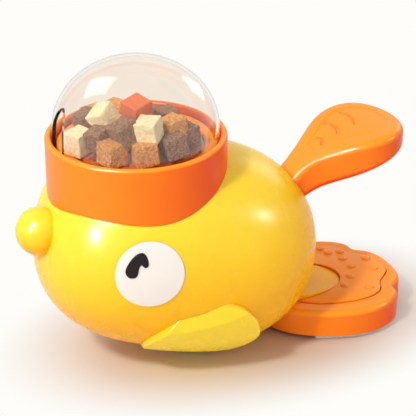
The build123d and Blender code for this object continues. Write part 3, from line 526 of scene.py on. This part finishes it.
def carve(piece, cutter):
    """Cuts a mesh out of a piece."""
    mesh = bpy.data.meshes.new("cutter")
    cutter.to_mesh(mesh)
    cutter.free()
    tool = bpy.data.objects.new("cutter", mesh)
    bpy.context.scene.collection.objects.link(tool)
    cut = piece.modifiers.new("cut", "BOOLEAN")
    cut.operation = "DIFFERENCE"
    cut.solver = "EXACT"
    cut.object = tool
    apply_modifiers(piece)
    bpy.data.objects.remove(tool)
    bpy.data.meshes.remove(mesh)


def apply_modifiers(piece):
    """Turns a piece's modifiers into its mesh."""
    graph = bpy.context.evaluated_depsgraph_get()
    done = bpy.data.meshes.new_from_object(piece.evaluated_get(graph), depsgraph=graph)
    piece.modifiers.clear()
    old = piece.data
    piece.data = done
    bpy.data.meshes.remove(old)


# The heap of treats: kind, middle of the cube in millimetres, then its turn, lean and nod in degrees
HEAP = (
    ("cream", -91.8, -4.7, 155.6, 27, -4, 4),
    ("brown", -82.0, -15.6, 160.0, 25, -18, 6),
    ("cream", -76.8, -7.1, 169.5, 29, -33, 8),
    ("brown", -79.9, 16.4, 158.5, 22, -20, 0),
    ("tan", -61.2, 14.9, 162.0, 37, 6, 0),
    ("brown", -71.2, -27.4, 166.5, 17, -20, 10),
    ("orange", -58.9, -15.8, 174.5, 21, -2, 14),
    ("cream", -57.6, -32.1, 168.0, 47, -7, 6),
    ("brown", -35.1, -1.1, 159.5, 5, 6, 0),
    ("tan", -39.4, -25.0, 163.0, 19, -8, 4),
    ("brown", -43.3, -35.3, 157.0, 5, -10, 3),
    ("tan", -79.4, -28.3, 155.6, 19, 2, 0),
    ("tan", -62.1, -35.8, 155.6, 0, -6, 3),
    ("brown", -30.3, -22.8, 155.6, 12, -6, 0),
    ("tan", -71.5, 27.0, 155.6, 20, 0, 0),
    ("cream", -66.0, 2.0, 155.4, 55, 0, 0),
    ("brown", -50.0, -12.0, 155.4, 10, 0, 0),
    ("tan", -50.0, 8.0, 155.4, 30, 0, 0),
)

# Level axes that a treat leans and nods about: one runs away from the photograph's side, one across it
LEAN_AXIS = (0.394, 0.919, 0)
NOD_AXIS = (0.919, -0.394, 0)

# A treat's faces, as shares of half its edge: its mean size, slow swell, fine grit and chipped edges
TREAT_SIZE = 0.965
TREAT_SWELL = 0.025
TREAT_GRIT = 0.016
TREAT_CHIP = 0.13
CHIP_LEVEL = 0.12
# How fine each of them is, and how far apart two treats lie in the pattern
SWELL_WAVES = 1.6
GRIT_WAVES = 7.0
CHIP_WAVES = 3.1
SEED_STEP = (7.3, 3.1)
SEED_HEIGHT = 50

# Each kind of treat: crumb size in millimetres, depth of its pits, contrast of its meal, uneven faces
CHEWS = {
    "cream": (2.4, 0.6, 0.2, 1.0),
    "brown": (1.8, 1.0, 0.95, 1.0),
    "tan": (2.0, 1.0, 0.55, 1.0),
    "orange": (3.0, 0.2, 0.06, 0.2),
}

# Bars in the tail's top, in millimetres: X, near and far Y, and how far each bends towards the tip
TAIL_BARS = ((73.5, -4.5, 6.8), (86.0, -3.5, 16.0), (99.5, -1.5, 20.5))
BAR_BEND = 2.5
BAR_STEPS = 12
# Height that the bars are dropped from, gap up to which the tail's mesh is joined, and its new grid
SKY = 300.0
TAIL_WELD = 0.001
TAIL_GRID = 0.45

# Mat in the tray's well, in millimetres: half of its outline, and its nubs
MAT_LOOP = [
    (44.0, 0.0), (46.0, -19.0), (60.0, -32.6), (80.0, -38.4), (95.0, -38.6), (105.2, -34.8),
    (110.3, -28.8), (113.2, -22.4), (119.2, -16.8), (125.0, -9.9), (126.8, 0.0),
]
MAT_NUBS = (
    (96.4, 35.0), (99.0, 27.2), (107.4, 25.4), (104.4, 15.5), (104.4, 3.0), (97.2, -9.3), (87.9, -19.2),
    (119.6, 9.7), (118.0, -5.0), (102.3, -27.2),
)
MAT_STEPS = 8
MAT_THICK = 2.7
# Height of the mat's rounded edge, and the share of it that the middle step takes
MAT_EDGE = 0.6
MAT_SOFT = 0.3
# Middle of the oval that the tongue's end follows, and the mat's gap to it
TONGUE_ROOT = 56.0
TONGUE_GAP = 0.6
OVAL_STEPS = 72

# The dome's mesh: steps up its arc and round its foot, and the gap up to which its poles are joined
ARC_STEPS = 40
FOOT_STEPS = 8
DOME_WELD = 0.01

# The thumb notch, in millimetres: straight sides, start below the foot, reach in and out of the wall; then
# the steps of each side and how fast they draw in to the point
NOTCH_STRAIGHT = 12
NOTCH_BELOW = 5
NOTCH_REACH = 20
NOTCH_STEPS = 14
NOTCH_CURVE = 1.7


# Operators


class DISPENSER_OT_body(bpy.types.Operator):
    """Yellow moulded body, flippers and tongue"""

    bl_idname = "dispenser.body"
    bl_label = "Body"

    def execute(self, context):
        s = context.scene.dispenser_body
        yellow = moulded_plastic("ABS moulded yellow", s.yellow, s.painted_shade, s.roughness, subsurface=0.12)
        dress(yellow, "left_shell", "right_shell")
        flipper = moulded_plastic(
            "ABS moulded yellow flipper", s.flipper, s.flipper_painted_light, s.roughness, subsurface=0.12
        )
        dress(flipper, "flipper_left", "flipper_right")
        # The tongue's deeper yellow is painted shade
        tongue = moulded_plastic("ABS moulded deep yellow", s.tongue, s.tongue, s.roughness)
        dress(tongue, "ramp_tongue")
        return {"FINISHED"}


class DISPENSER_OT_eyes(bpy.types.Operator):
    """White eye discs and dark pupils"""

    bl_idname = "dispenser.eyes"
    bl_label = "Eyes"

    def execute(self, context):
        s = context.scene.dispenser_body
        white = moulded_plastic("ABS moulded white", s.eye_white, s.eye_white, 0.24)
        dress(white, "eye_left", "eye_right")
        dark = moulded_plastic("ABS moulded near-black", s.pupil, s.pupil, 0.3)
        dress(dark, "pupil_left", "pupil_right")
        return {"FINISHED"}


class DISPENSER_OT_trim(bpy.types.Operator):
    """Orange collar, tail and tray"""

    bl_idname = "dispenser.trim"
    bl_label = "Collar, tail and tray"

    def execute(self, context):
        s = context.scene.dispenser_trim
        orange = moulded_plastic("ABS moulded orange", s.orange, s.painted_shade, s.roughness, subsurface=0.1)
        dress(orange, "collar", "tray")
        self.tail(orange, s)
        self.mat(orange, s)
        salmon = moulded_plastic("ABS moulded salmon", s.salmon, s.salmon, 0.42)
        dress(salmon, "feed_disc")
        dress(soft_rubber("TPE rubber grey", "#F2F1EE"), "tray_pad", "belly_pad")
        return {"FINISHED"}

    def tail(self, orange, s):
        """The tail paddle, with three bent bars pressed into its top."""
        bm = bmesh.new()
        bm.from_mesh(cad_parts["tail_paddle"].data)
        bmesh.ops.remove_doubles(bm, verts=bm.verts, dist=TAIL_WELD * MM)
        skin = BVHTree.FromBMesh(bm)
        cutter = bmesh.new()
        for x, near, far in TAIL_BARS:
            line = []
            for i in range(BAR_STEPS + 1):
                t = i / BAR_STEPS
                above = Vector((x + BAR_BEND * (1 - (2 * t - 1) ** 2), near + (far - near) * t, SKY)) * MM
                line.append(skin.ray_cast(above, Vector((0, 0, -1)))[0])
            add_tube(cutter, line, s.bar / 2)
        piece = new_piece("tail_blade", bm, orange, "tail", "shell_orange", "tail_paddle")
        carve(piece, cutter)
        even = piece.modifiers.new("even", "REMESH")
        even.mode = "VOXEL"
        even.voxel_size = TAIL_GRID * MM
        apply_modifiers(piece)
        piece.data.shade_smooth()

    def mat(self, orange, s):
        """The nubbed mat that lies in the tray's well, cut out round the tongue."""
        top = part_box("tray")[1].z + s.mat_rise
        under = top - MAT_THICK * MM
        edge = smooth_loop(MAT_LOOP + [(x, -y) for x, y in reversed(MAT_LOOP[1:-1])], MAT_STEPS)
        tongue_low, tongue_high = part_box("ramp_tongue")
        reach = tongue_high.x - TONGUE_ROOT * MM + TONGUE_GAP * MM
        width = (tongue_high.y - tongue_low.y) / 2 + TONGUE_GAP * MM
        soft = MAT_SOFT * MAT_EDGE
        levels = ((0.0, under), (0.0, top - MAT_EDGE * MM), (soft, top - soft * MM), (MAT_EDGE, top))
        rows = []
        for inset, z in levels:
            rows.append([place + Vector((0, 0, z)) for place in inset_points(edge, inset * MM)])
        bm = bmesh.new()
        add_lofted(bm, rows)
        cutter = bmesh.new()
        root = TONGUE_ROOT * MM
        oval = [Vector((root + reach * cos(a), width * sin(a), 0)) for a in ring_turns(OVAL_STEPS)]
        add_lofted(cutter, [[p + Vector((0, 0, z)) for p in oval] for z in (under - MM, top + MM)])
        piece = new_piece("tray_mat", bm, orange, "body", "shell_orange")
        carve(piece, cutter)
        back = bmesh.new()
        add_box(back, (0.0, -width, under - MM), (root, width, top + MM))
        carve(piece, back)
        grown = bmesh.new()
        grown.from_mesh(piece.data)
        for x, y in MAT_NUBS:
            add_nub(grown, Vector((x * MM, y * MM, top)), s.nub)
        grown.to_mesh(piece.data)
        grown.free()
        smooth(piece)


class DISPENSER_OT_works(bpy.types.Operator):
    """The white and steel works inside the body"""

    bl_idname = "dispenser.works"
    bl_label = "Works"

    def execute(self, context):
        # The second, greyer white is painted shade, as in the other mouldings
        acetal = moulded_plastic("Acetal moulded white", linear("#ECECE8"), linear("#E2E2DC"), 0.5)
        dress(
            acetal, "hopper_floor", "rack_bracket", "treat_chute", "drive_lever", "feed_rack",
            "drive_pinion",
        )
        steel = rolled_steel("Steel zinc-plated")
        dress(
            steel, "pivot_pin", "return_spring", "housing_screws", "collar_screws", "bracket_screws",
            "tray_screws", "lever_screws", "feed_shaft", "shaft_clip",
        )
        return {"FINISHED"}


class DISPENSER_OT_dome(bpy.types.Operator):
    """Clear dome with its thumb notch"""

    bl_idname = "dispenser.dome"
    bl_label = "Dome"

    def execute(self, context):
        s = context.scene.dispenser_dome
        low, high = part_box("clear_dome")
        radius = (high.y - low.y) / 2
        axis_x = high.x - radius
        bm = bmesh.new()
        profile = self.profile(radius, s.wall, s.rise, low.z, high.z)
        verts = [bm.verts.new((axis_x + r, 0, z)) for r, z in profile]
        edges = [bm.edges.new((verts[i], verts[i + 1])) for i in range(len(verts) - 1)]
        bmesh.ops.spin(
            bm, geom=verts + edges, axis=(0, 0, 1), cent=(axis_x, 0, 0), angle=2 * pi, steps=s.steps,
            use_merge=True,
        )
        bmesh.ops.remove_doubles(bm, verts=bm.verts, dist=DOME_WELD * MM)
        bmesh.ops.recalc_face_normals(bm, faces=bm.faces)
        clear = clear_polycarbonate("Polycarbonate polished clear")
        dome = new_piece("dome_shell", bm, clear, "dome", "clear_dome", "clear_dome")
        self.cut_notch(dome, s, axis_x, radius, low.z)
        smooth(dome)
        return {"FINISHED"}

    def profile(self, radius, wall, rise, foot, top):
        """Half section from the inner pole, down the inside, round the foot and up the outside."""
        equator = top - rise
        inner = []
        outer = []
        for i in range(ARC_STEPS + 1):
            t = pi / 2 * i / ARC_STEPS
            inner.append(((radius - wall) * sin(t), equator + (rise - wall) * cos(t)))
            outer.append((radius * sin(t), equator + rise * cos(t)))
        round_r = wall / 2
        middle = radius - round_r
        rim = []
        for i in range(FOOT_STEPS + 1):
            t = pi * i / FOOT_STEPS
            rim.append((middle - round_r * cos(t), foot + round_r - round_r * sin(t)))
        return inner + rim + outer[::-1]

    def cut_notch(self, dome, s, axis_x, radius, foot):
        """Cuts the pointed arch out of the dome's front."""
        half = s.notch_width / 2
        shoulder = foot + NOTCH_STRAIGHT * MM
        start = foot - NOTCH_BELOW * MM
        right = []
        for i in range(NOTCH_STEPS):
            t = i / NOTCH_STEPS
            right.append((half * sqrt(1 - t ** NOTCH_CURVE), shoulder + (s.notch_top - shoulder) * t))
        left = [(-y, z) for y, z in reversed(right)]
        outline = [(-half, start), (half, start)] + right + [(0.0, s.notch_top)] + left
        bm = bmesh.new()
        near = [bm.verts.new((axis_x - radius - NOTCH_REACH * MM, y, z)) for y, z in outline]
        face = bm.faces.new(near)
        grown = bmesh.ops.extrude_face_region(bm, geom=[face])
        moved = [g for g in grown["geom"] if isinstance(g, bmesh.types.BMVert)]
        bmesh.ops.translate(bm, verts=moved, vec=(2 * NOTCH_REACH * MM, 0, 0))
        bmesh.ops.recalc_face_normals(bm, faces=bm.faces)
        carve(dome, bm)


class DISPENSER_OT_treats(bpy.types.Operator):
    """Cube treats heaped on the feed disc"""

    bl_idname = "dispenser.treats"
    bl_label = "Treats"

    def execute(self, context):
        s = context.scene.dispenser_treats
        for kind, (grain, depth, contrast, uneven) in CHEWS.items():
            bm = bmesh.new()
            for index, row in enumerate(HEAP):
                if row[0] == kind:
                    self.add_cube(bm, row, index, s, uneven)
            bmesh.ops.recalc_face_normals(bm, faces=bm.faces)
            chew = baked_chew("Baked chew " + kind, getattr(s, kind), grain, depth, contrast)
            new_piece("chews_" + kind, bm, chew, "disc", "treat_" + kind, "treats_" + kind)
        return {"FINISHED"}

    def add_cube(self, bm, row, index, s, uneven):
        """One treat: a cube with crisp, chipped edges and uneven faces, leaning on its neighbours."""
        x, y, z, yaw, roll, pitch = row[1:]
        centre = Vector((x, y, z)) * MM
        lean = Matrix.Rotation(radians(roll), 3, Vector(LEAN_AXIS))
        nod = Matrix.Rotation(radians(pitch), 3, Vector(NOD_AXIS))
        turn = lean @ nod @ Matrix.Rotation(radians(yaw), 3, "Z")
        half = s.side / 2
        block = bmesh.new()
        bmesh.ops.create_cube(block, size=2)
        bmesh.ops.subdivide_edges(block, edges=block.edges, cuts=s.cuts, use_grid_fill=True)
        inner = 1 - s.corner / half
        made = {}
        seed = Vector((index * SEED_STEP[0], index * SEED_STEP[1], half * SEED_HEIGHT))
        for vert in block.verts:
            p = vert.co
            core = Vector([max(-inner, min(inner, c)) for c in p])
            away = p - core
            if away.length > 0:
                p = core + away.normalized() * (1 - inner)
            swell = noise.noise(p * SWELL_WAVES + seed)
            grit = noise.noise(p * GRIT_WAVES + seed)
            chip = min(0.0, noise.noise(p * CHIP_WAVES + seed) + CHIP_LEVEL) * (p.length - 1.0)
            relief = TREAT_SWELL * swell + TREAT_GRIT * grit + TREAT_CHIP * chip
            p = p * (TREAT_SIZE + uneven * relief)
            made[vert] = bm.verts.new(centre + turn @ (p * half))
        for face in block.faces:
            bm.faces.new([made[v] for v in face.verts])
        block.free()


# Soft boxes: name, turn from straight ahead and height above the horizon in degrees, distance and side in
# metres, watts, and what each does: L lights, G shows in gloss, D shows in the dome
LAMPS = (
    ("key", -60, 47, 1.4, 0.13, 10.2, "LG"),
    ("sheen", -60, 47, 1.4, 0.24, 46.0, "G"),
    ("glint", -68, 25, 1.2, 0.2, 26.0, "G"),
    ("window_left", -145, 52, 1.1, 0.44, 1.7, "LGD"),
    ("window_right", 120, 25, 1.1, 0.34, 1.0, "LGD"),
    ("side", 64, 29, 1.2, 0.12, 5.0, "G"),
    ("fill", 35, 3, 1.3, 0.7, 2.6, "L"),
)
LAMP_TARGET = (0.0, 0.0, 0.09)
SENSOR_MM = 36

# The floor in metres: half its side, then the oval round the object in which its darker paper, a painted
# shadow, shows
# along with the real cast shadow: middle, squash, and the distances between which it fades into plain white
FLOOR_HALF = 6
OVAL_MIDDLE = (0.02, 0.0, 0.0)
OVAL_SQUASH = (0.62, 1.0, 1.0)
FADE_FROM = 0.05
FADE_TO = 0.115


def direction(azimuth, elevation):
    """The way from the object to a lamp or a camera, from its turn and its height above the horizon."""
    return Vector((sin(azimuth) * cos(elevation), -cos(azimuth) * cos(elevation), sin(elevation)))


def seen_directly(tree):
    """1 for rays that come straight from the camera, or by way of gloss or glass."""
    rays = add(tree, "ShaderNodeLightPath").outputs
    seen = rays["Is Camera Ray"]
    for kind in ("Is Transmission Ray", "Is Glossy Ray"):
        seen = add(tree, "ShaderNodeMath", {0: seen, 1: rays[kind]}, operation="MAXIMUM").outputs["Value"]
    return seen


class DISPENSER_OT_stage(bpy.types.Operator):
    """Floor, lamps and camera"""

    bl_idname = "dispenser.stage"
    bl_label = "Stage"

    def execute(self, context):
        s = context.scene.dispenser_stage
        self.floor(s)
        self.world(context, s)
        spared = bpy.data.collections.new("spared")
        spared.objects.link(bpy.data.objects["dome_shell"])
        spared.collection_objects[0].light_linking.link_state = "EXCLUDE"
        for name, azimuth, elevation, away, size, power, does in LAMPS:
            lamp = self.lamp(name, azimuth, elevation, away, size, power)
            lamp.visible_diffuse = "L" in does
            lamp.visible_glossy = "G" in does
            if "D" not in does:
                lamp.light_linking.receiver_collection = spared
        self.camera(context, s)
        context.scene.view_settings.view_transform = "Standard"
        return {"FINISHED"}

    def floor(self, s):
        """A wide floor, painted darker round the object as a painted shadow, that fades into the background
        but keeps the object's cast shadow.
        """
        bm = bmesh.new()
        bmesh.ops.create_grid(bm, x_segments=2, y_segments=2, size=FLOOR_HALF)
        mesh = bpy.data.meshes.new("floor")
        bm.to_mesh(mesh)
        bm.free()
        floor = bpy.data.objects.new("floor", mesh)
        bpy.context.scene.collection.objects.link(floor)
        material, tree, out = new_material("Paper sweep white")
        rays = add(tree, "ShaderNodeLightPath").outputs
        # The paper round the object is painted darker than the far floor, as a painted shadow
        paper = mix_colour(tree, rays["Is Diffuse Ray"], rgba(s.paper), rgba(s.bounce))
        shader = add(tree, "ShaderNodeBsdfPrincipled", {"Base Color": paper, "Roughness": 0.9})
        plain = add(tree, "ShaderNodeEmission", {"Color": rgba(s.floor), "Strength": 1.0})
        place = add(tree, "ShaderNodeTexCoord").outputs["Object"]
        middle = add(tree, "ShaderNodeVectorMath", {0: place, 1: OVAL_MIDDLE}, operation="SUBTRACT")
        squashed = add(
            tree, "ShaderNodeVectorMath", {0: middle.outputs["Vector"], 1: OVAL_SQUASH},
            operation="MULTIPLY",
        )
        away = add(tree, "ShaderNodeVectorMath", {0: squashed.outputs["Vector"]}, operation="LENGTH")
        fade = add(
            tree, "ShaderNodeMapRange",
            {"Value": away.outputs["Value"], "From Min": FADE_FROM, "From Max": FADE_TO, "To Min": s.lift},
            interpolation_type="SMOOTHSTEP",
        )
        shown = add(
            tree, "ShaderNodeMath", {0: fade.outputs["Result"], 1: seen_directly(tree)},
            operation="MULTIPLY",
        )
        mixed = add(tree, "ShaderNodeMixShader", {"Fac": shown.outputs["Value"]})
        tree.links.new(shader.outputs["BSDF"], mixed.inputs[1])
        tree.links.new(plain.outputs["Emission"], mixed.inputs[2])
        tree.links.new(mixed.outputs["Shader"], out.inputs["Surface"])
        mesh.materials.append(material)

    def world(self, context, s):
        """Soft white surroundings, pure to the camera and dimmer as a light."""
        world = bpy.data.worlds.new("white room")
        context.scene.world = world
        world.use_nodes = True
        tree = world.node_tree
        tree.nodes.clear()
        out = tree.nodes.new("ShaderNodeOutputWorld")
        plain = add(tree, "ShaderNodeBackground", {"Color": rgba(s.floor), "Strength": 1.0})
        light = add(tree, "ShaderNodeBackground", {"Color": rgba(s.room), "Strength": s.ambient})
        mixed = add(tree, "ShaderNodeMixShader", {"Fac": seen_directly(tree)})
        tree.links.new(light.outputs["Background"], mixed.inputs[1])
        tree.links.new(plain.outputs["Background"], mixed.inputs[2])
        tree.links.new(mixed.outputs["Shader"], out.inputs["Surface"])

    def lamp(self, name, azimuth, elevation, away, size, power):
        """A square soft box that faces the object."""
        data = bpy.data.lights.new(name, "AREA")
        data.size = size
        data.energy = power
        data.color = linear("#FFFBF5")
        lamp = bpy.data.objects.new(name, data)
        bpy.context.scene.collection.objects.link(lamp)
        lamp.location = direction(radians(azimuth), radians(elevation)) * away
        lamp.rotation_euler = (Vector(LAMP_TARGET) - lamp.location).to_track_quat("-Z", "Y").to_euler()
        return lamp

    def camera(self, context, s):
        """The camera at the photograph's angle."""
        data = bpy.data.cameras.new("camera")
        data.lens = s.lens
        data.sensor_width = SENSOR_MM
        camera = bpy.data.objects.new("camera", data)
        context.scene.collection.objects.link(camera)
        back = direction(s.azimuth, s.elevation)
        camera.location = Vector(s.target) + back * s.distance
        camera.rotation_euler = (-back).to_track_quat("-Z", "Y").to_euler()
        context.scene.camera = camera


class DISPENSER_PT_panel(bpy.types.Panel):
    """Lists the settings and the operators"""

    bl_idname = "DISPENSER_PT_panel"
    bl_label = "Treat dispenser"
    bl_space_type = "VIEW_3D"
    bl_region_type = "UI"
    bl_category = "Dispenser"

    def draw(self, context):
        layout = self.layout
        for key, group in SETTINGS:
            box = layout.box()
            settings = getattr(context.scene, key)
            for prop in group.__annotations__:
                box.prop(settings, prop)
        for operator in OPERATORS:
            layout.operator(operator.bl_idname)


SETTINGS = (
    ("dispenser_body", BodySettings),
    ("dispenser_trim", TrimSettings),
    ("dispenser_dome", DomeSettings),
    ("dispenser_treats", TreatSettings),
    ("dispenser_stage", StageSettings),
)
OPERATORS = (
    DISPENSER_OT_body,
    DISPENSER_OT_eyes,
    DISPENSER_OT_trim,
    DISPENSER_OT_works,
    DISPENSER_OT_dome,
    DISPENSER_OT_treats,
    DISPENSER_OT_stage,
)


def register():
    """Adds the settings, the operators and the panel."""
    for key, group in SETTINGS:
        bpy.utils.register_class(group)
        setattr(bpy.types.Scene, key, PointerProperty(type=group))
    for operator in OPERATORS:
        bpy.utils.register_class(operator)
    bpy.utils.register_class(DISPENSER_PT_panel)


def unregister():
    """Takes them out again."""
    bpy.utils.unregister_class(DISPENSER_PT_panel)
    for operator in reversed(OPERATORS):
        bpy.utils.unregister_class(operator)
    for key, group in reversed(SETTINGS):
        delattr(bpy.types.Scene, key)
        bpy.utils.unregister_class(group)


def main():
    """Builds every piece and the stage."""
    register()
    bpy.ops.dispenser.body()
    bpy.ops.dispenser.eyes()
    bpy.ops.dispenser.trim()
    bpy.ops.dispenser.works()
    bpy.ops.dispenser.dome()
    bpy.ops.dispenser.treats()
    bpy.ops.dispenser.stage()


if __name__ == "__main__":
    main()
